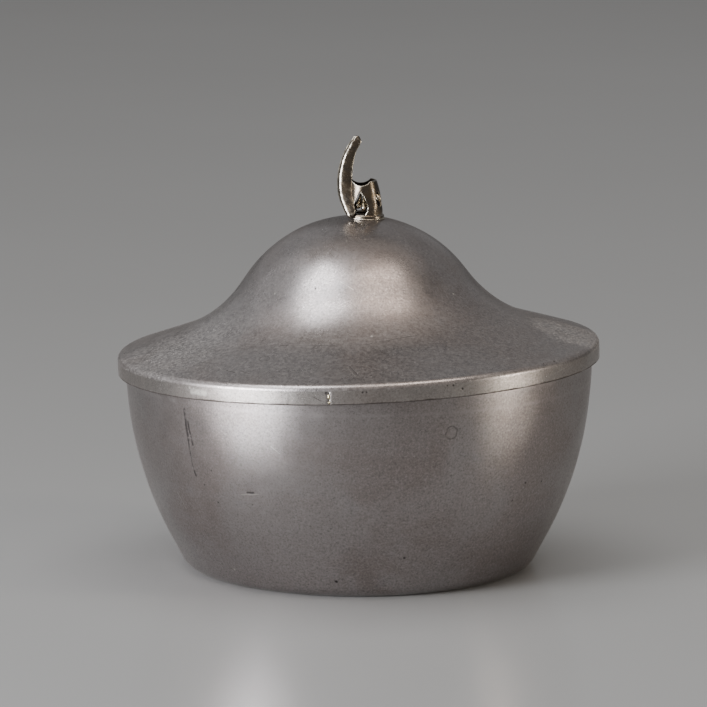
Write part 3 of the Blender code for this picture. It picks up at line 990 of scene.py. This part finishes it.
def speck_mask(g, coordinate, cell, reach):
    """Round specks of mixed sizes, one in about half of the cells."""
    inputs = {"Vector": coordinate, "Scale": 1 / cell}
    near = g.node("ShaderNodeTexVoronoi", inputs, "Distance")
    chance = g.node("ShaderNodeSeparateColor", {0: g.node("ShaderNodeTexVoronoi", inputs, "Color")})
    size = g.fit(chance, 0.35, 1.0, 0.0, reach)
    round_specks = g.fit(g.math("SUBTRACT", size, near), 0.0, 0.12)
    return g.math("MULTIPLY", round_specks, g.fit(chance, 0.3, 1.0, 0.3, 0.85))


def bowl_silver():
    dark = [
        ([on_bowl(-46.9, 46.0), on_bowl(-46.3, 38.5)], 1.4 * MM),
        ([on_bowl(-45.9, 43.0), on_bowl(-45.0, 37.5)], 1.1 * MM),
        ([on_bowl(-46.4, 39.5), on_bowl(-46.2, 34.0)], 0.8 * MM),
        ([on_bowl(-46.4, 35.0), on_bowl(-45.9, 30.2)], 0.45 * MM),
        ([on_bowl(-45.8, 30.6), on_bowl(-45.5, 29.6)], 0.95 * MM),
        ([on_bowl(-29.4, 27.1), on_bowl(-27.6, 27.2)], 0.8 * MM),
        ([on_bowl(-39.7, 31.6)], 0.6 * MM),
        ([on_bowl(-43.0, 27.6)], 0.7 * MM),
        ([on_bowl(-39.4, 23.5)], 0.7 * MM),
        ([on_bowl(-28.5, 24.1)], 0.6 * MM),
        ([on_bowl(13.0, 11.0)], 0.9 * MM),
        ([on_bowl(-7.0, 4.7)], 1.0 * MM),
        ([on_bowl(47.5, 27.5)], 0.7 * MM),
        ([on_bowl(54.5, 26.8)], 0.7 * MM),
        ([on_bowl(44.0, 23.4)], 0.6 * MM),
        ([on_bowl(140.0, 36.0), on_bowl(146.0, 31.0)], 0.3 * MM),
    ]
    light = [
        ([on_bowl(-31.5, 26.4), on_bowl(-26.2, 26.9)], 0.22 * MM),
        ([on_bowl(-21.6, 39.4), on_bowl(-19.4, 37.8)], 0.24 * MM),
        ([on_bowl(-55.6, 23.8), on_bowl(-53.7, 19.7)], 0.22 * MM),
        ([on_bowl(-41.7, 5.4)], 0.8 * MM),
        ([on_bowl(-120.0, 30.0), on_bowl(-112.0, 26.0)], 0.24 * MM),
        ([on_bowl(165.0, 40.0), on_bowl(170.0, 33.0)], 0.22 * MM),
    ]
    hoops = [(on_bowl(22.5, 42.8), 1.6 * MM, 0.6 * MM)]
    wear = [(WEAR_LINE, 0.8 * MM), (BOWL_HEIGHT, 2.5 * MM)]
    return worn_silver("bowl_silver_worn", BODY_TINT, 0.0, dark, light, hoops, wear)


def lid_silver():
    dark = [
        ([on_lid(-27.0, 40.7), on_lid(-12.0, 40.4), on_lid(3.0, 40.5)], 0.45 * MM),
        ([on_lid(3.0, 40.4), on_lid(12.0, 39.2), on_lid(22.0, 38.5)], 0.40 * MM),
        ([on_lid(-21.0, 27.3)], 0.7 * MM),
        ([on_lid(-36.2, 53.6), on_lid(-32.9, 54.2)], 0.36 * MM),
        ([on_lid(-31.5, 53.5), on_lid(-28.7, 54.3)], 0.36 * MM),
        ([on_lid(-2.3, 50.3), on_lid(0.0, 54.9)], 0.5 * MM),
        ([on_lid(-54.1, 58.6)], 0.8 * MM),
        ([on_lid(49.0, 59.3)], 0.8 * MM),
        ([on_lid(53.0, 59.3)], 0.8 * MM),
    ]
    light = [
        ([on_lid(-20.4, 26.4), on_lid(-14.4, 26.4)], 0.26 * MM),
        ([on_lid(-8.0, 26.1), on_lid(-1.0, 27.5)], 0.24 * MM),
        ([on_lid(-0.5, 8.6), on_lid(-6.6, 16.1)], 0.26 * MM),
        ([on_lid(-2.9, 50.8), on_lid(-0.7, 55.1)], 0.22 * MM),
        ([on_lid(-44.3, 28.5)], 0.7 * MM),
        ([on_lid(9.5, 15.6)], 0.7 * MM),
        ([on_lid(52.8, 30.0)], 0.7 * MM),
        ([on_lid(5.3, 37.8)], 0.7 * MM),
        ([on_lid(130.0, 20.0), on_lid(138.0, 26.0)], 0.24 * MM),
        ([on_lid(-140.0, 44.0), on_lid(-133.0, 50.0)], 0.24 * MM),
    ]
    hoops = [(on_lid(-28.5, 46.8), 1.3 * MM, 0.45 * MM)]
    return worn_silver("lid_silver_worn", BODY_TINT, 0.04, dark, light, hoops, dust=1.0, flat_sheet=True)


def band_silver():
    dark = [
        ([on_band(-10.3, 2.0), on_band(-9.0, 1.3), on_band(-7.9, 1.0)], 0.28 * MM),
        ([on_band(0.9, 2.95)], 0.7 * MM),
        ([on_band(1.8, 3.0)], 0.6 * MM),
        ([on_band(20.6, 3.2)], 0.6 * MM),
        ([on_band(22.1, 3.1)], 0.7 * MM),
        ([on_band(24.3, 2.1)], 0.8 * MM),
        ([on_band(SEAM_ANGLE - 0.6, 3.0)], 0.9 * MM),
        ([on_band(110.0, 1.4), on_band(113.0, 2.4)], 0.3 * MM),
    ]
    light = [
        ([on_band(-42.6, 2.9)], 0.8 * MM),
        ([on_band(-41.4, 2.7)], 0.7 * MM),
        ([on_band(-41.9, 2.0), on_band(-38.0, 1.9)], 1.9 * MM),
        ([on_band(-30.0, 0.5), on_band(-24.0, 0.6)], 0.2 * MM),
        ([on_band(33.0, 2.6), on_band(37.0, 2.3)], 0.2 * MM),
    ]
    # Its lower edge gets painted shade, a near-black strip.
    return worn_silver("band_silver_worn", BAND_TINT, 0.02, dark, light, painted_dark_edge=True)


def cast_silver(name, tint, shine):
    """Cast silver: dark brown tarnish in the hollows, rubbed bright on the edges."""
    g = Graph(name)
    own = g.own()
    relief = g.relief()
    stain = g.noise(own, 1.6 * MM, 4.0, 0.6)
    grain = g.noise(own, 0.22 * MM, 3.0, 0.6)
    uneven = g.math("ADD", relief, g.fit(stain, 0.3, 0.7, -0.035, 0.035))
    sunken = g.fit(uneven, 0.0, -0.07)
    raised = g.fit(uneven, 0.030, 0.09)
    browner = (tint[0] * 0.70, tint[1] * 0.62, tint[2] * 0.50)
    darker = tuple(c * 0.5 for c in tint)
    colour = g.mix(g.fit(stain, 0.35, 0.65), (*tint, 1.0), (*browner, 1.0))
    colour = g.mix(g.fit(grain, 0.35, 0.70, 0.0, 0.5), colour, (*darker, 1.0))
    colour = g.mix(g.math("MULTIPLY", sunken, 0.92), colour, (0.030, 0.022, 0.015, 1.0))
    colour = g.mix(g.math("MULTIPLY", raised, 0.8), colour, (0.50, 0.46, 0.39, 1.0))
    roughness = g.fit(stain, 0.3, 0.7, 0.26 - shine, 0.40 - shine)
    roughness = g.math("ADD", roughness, g.math("MULTIPLY", sunken, 0.22))
    roughness = g.math("SUBTRACT", roughness, g.math("MULTIPLY", raised, 0.06))
    bumps = g.math("ADD", g.math("MULTIPLY", stain, 1.0), g.math("MULTIPLY", grain, 0.5))
    g.shader.inputs["Metallic"].default_value = 1.0
    g.connect(Base_Color=colour, Roughness=roughness, Normal=g.bump(bumps, 0.03 * MM))
    return g.material


def solder_metal():
    """Solder: yellower and greyer than the silver, finely wrinkled."""
    g = Graph("solder_dull")
    own = g.own()
    wrinkles = g.noise(own, 0.35 * MM, 4.0, 0.6)
    stain = g.noise(own, 0.9 * MM, 3.0)
    colour = g.mix(g.fit(stain, 0.35, 0.65), (0.62, 0.54, 0.36, 1.0), (0.36, 0.31, 0.22, 1.0))
    g.shader.inputs["Metallic"].default_value = 1.0
    g.connect(Base_Color=colour, Roughness=g.fit(wrinkles, 0.3, 0.7, 0.22, 0.42),
              Normal=g.bump(wrinkles, 0.03 * MM))
    return g.material


def fixing_brass():
    """Old brass, dark where nothing rubs it."""
    g = Graph("fixing_brass_old")
    own = g.own()
    stain = g.noise(own, 1.1 * MM, 5.0, 0.65)
    grain = g.noise(own, 0.15 * MM, 2.0)
    colour = g.mix(g.fit(stain, 0.35, 0.65), (0.56, 0.42, 0.20, 1.0), (0.25, 0.17, 0.085, 1.0))
    colour = g.mix(g.fit(grain, 0.4, 0.7, 0.0, 0.3), colour, (0.68, 0.54, 0.30, 1.0))
    g.shader.inputs["Metallic"].default_value = 1.0
    g.connect(Base_Color=colour, Roughness=g.fit(stain, 0.3, 0.7, 0.30, 0.50),
              Normal=g.bump(grain, 0.012 * MM))
    return g.material


# ---------------------------------------------------------------- studio

def build_camera():
    camera = bpy.data.objects.new("camera", bpy.data.cameras.new("camera"))
    bpy.context.scene.collection.objects.link(camera)
    back = Vector((0.0, -math.cos(CAMERA_ELEVATION), math.sin(CAMERA_ELEVATION)))
    camera.location = LOOK_AT + back * CAMERA_DISTANCE
    camera.rotation_euler = (math.pi / 2 - CAMERA_ELEVATION, 0.0, 0.0)
    camera.data.lens = CAMERA_LENS
    camera.data.sensor_width = 36.0
    camera.data.clip_start = 0.05
    bpy.context.scene.camera = camera


def soft_box(name, azimuth, elevation, distance, wide, tall, radiance, colour):
    """A rectangular soft light that faces the object.  wide and tall are the angles in degrees that it fills
    as seen from there; azimuth 0 is the viewer's side, positive to the right."""
    data = bpy.data.lights.new(name, "AREA")
    data.shape = "RECTANGLE"
    data.size = 2 * distance * math.tan(math.radians(wide / 2))
    data.size_y = 2 * distance * math.tan(math.radians(tall / 2))
    data.energy = radiance * math.pi * data.size * data.size_y
    data.color = colour
    light = bpy.data.objects.new(name, data)
    bpy.context.scene.collection.objects.link(light)
    aim = round_from_front(azimuth) * math.cos(math.radians(elevation))
    aim += UP * math.sin(math.radians(elevation))
    light.location = Vector((0.0, 0.0, 0.05)) + aim * distance
    light.rotation_mode = "QUATERNION"
    light.rotation_quaternion = aim.to_track_quat("Z", "Y")
    return light


def build_lights(floor):
    """Two low windows for everything, higher soft boxes for the metal, and a lamp overhead for the floor."""
    cool = (0.95, 0.97, 1.0)
    warm = (1.0, 0.92, 0.80)
    beige = (1.0, 0.89, 0.79)
    soft_box("window_low", -54, 8, 0.9, 26, 18, 38.0, cool)
    soft_box("lamp_low", 75, 8, 0.9, 8, 18, 26.0, warm)
    high = [
        soft_box("window_frame", -56, 10, 1.0, 48, 22, 3.0, cool),
        soft_box("window_middle", -53, 33, 0.9, 34, 32, 3.0, cool),
        soft_box("window_high", -58, 61, 0.9, 30, 24, 9.0, cool),
        soft_box("lamp_middle", 78, 33, 0.9, 9, 32, 1.5, warm),
        soft_box("ceiling_right", 34, 66, 1.1, 36, 20, 5.0, beige),
        soft_box("ceiling", 0, 80, 1.1, 60, 20, 0.6, beige),
        soft_box("front_fill", 20, 28, 1.6, 60, 50, 0.30, beige),
        soft_box("overhead_back", 180, 76, 1.2, 70, 28, 0.35, beige),
        soft_box("side_left", -105, 28, 1.0, 40, 52, 0.5, cool),
        soft_box("behind_left", -145, 34, 1.2, 40, 44, 0.3, cool),
        soft_box("behind_right", 140, 34, 1.2, 60, 44, 0.2, cool),
    ]
    set_receivers(high, floor, "EXCLUDE")
    set_receivers([soft_box("floor_lamp", 0, 90, 2.5, 53, 53, 2.3, (1.0, 1.0, 1.0))], floor, "INCLUDE")


def set_receivers(lights, floor, state):
    """Keep the lights off the floor ("EXCLUDE") or on it alone ("INCLUDE")."""
    receivers = bpy.data.collections.new("receivers_" + state.lower())
    receivers.objects.link(floor)
    receivers.collection_objects[0].light_linking.link_state = state
    for light in lights:
        light.light_linking.receiver_collection = receivers


def build_stage():
    whole = bmesh.new()
    bmesh.ops.create_grid(whole, x_segments=1, y_segments=1, size=6.0)
    mesh = bpy.data.meshes.new("floor")
    whole.to_mesh(mesh)
    whole.free()
    floor = bpy.data.objects.new("floor", mesh)
    bpy.context.scene.collection.objects.link(floor)
    g = Graph("floor_paint")
    coordinate = g.node("ShaderNodeTexCoord", {}, "Object")
    cloud = g.noise(coordinate, 0.20, 3.0)
    g.connect(Base_Color=g.mix(cloud, (0.45, 0.444, 0.438, 1.0), (0.48, 0.474, 0.468, 1.0)))
    g.shader.inputs["Roughness"].default_value = 0.20
    floor.data.materials.append(g.material)
    world = bpy.data.worlds.new("studio")
    bpy.context.scene.world = world
    world.use_nodes = True
    world.node_tree.nodes["Background"].inputs["Color"].default_value = (1.0, 0.99, 0.98, 1.0)
    world.node_tree.nodes["Background"].inputs["Strength"].default_value = 0.13
    return floor


build_camera()
build_lights(build_stage())
build_bowl(bowl_silver())
build_lid(lid_silver())
build_band(band_silver())
solder = solder_metal()
build_band_solder(solder)
finial = cast_silver("finial_silver_worn", (0.15, 0.129, 0.106), 0.06)
build_leaf(finial)
build_husk(finial)
build_collar(finial)
build_collar_solder(finial)
build_berries(cast_silver("berry_silver_worn", (0.46, 0.39, 0.27), 0.08))
brass = fixing_brass()
build_stud(brass)
build_washer(brass)
build_nut(brass)
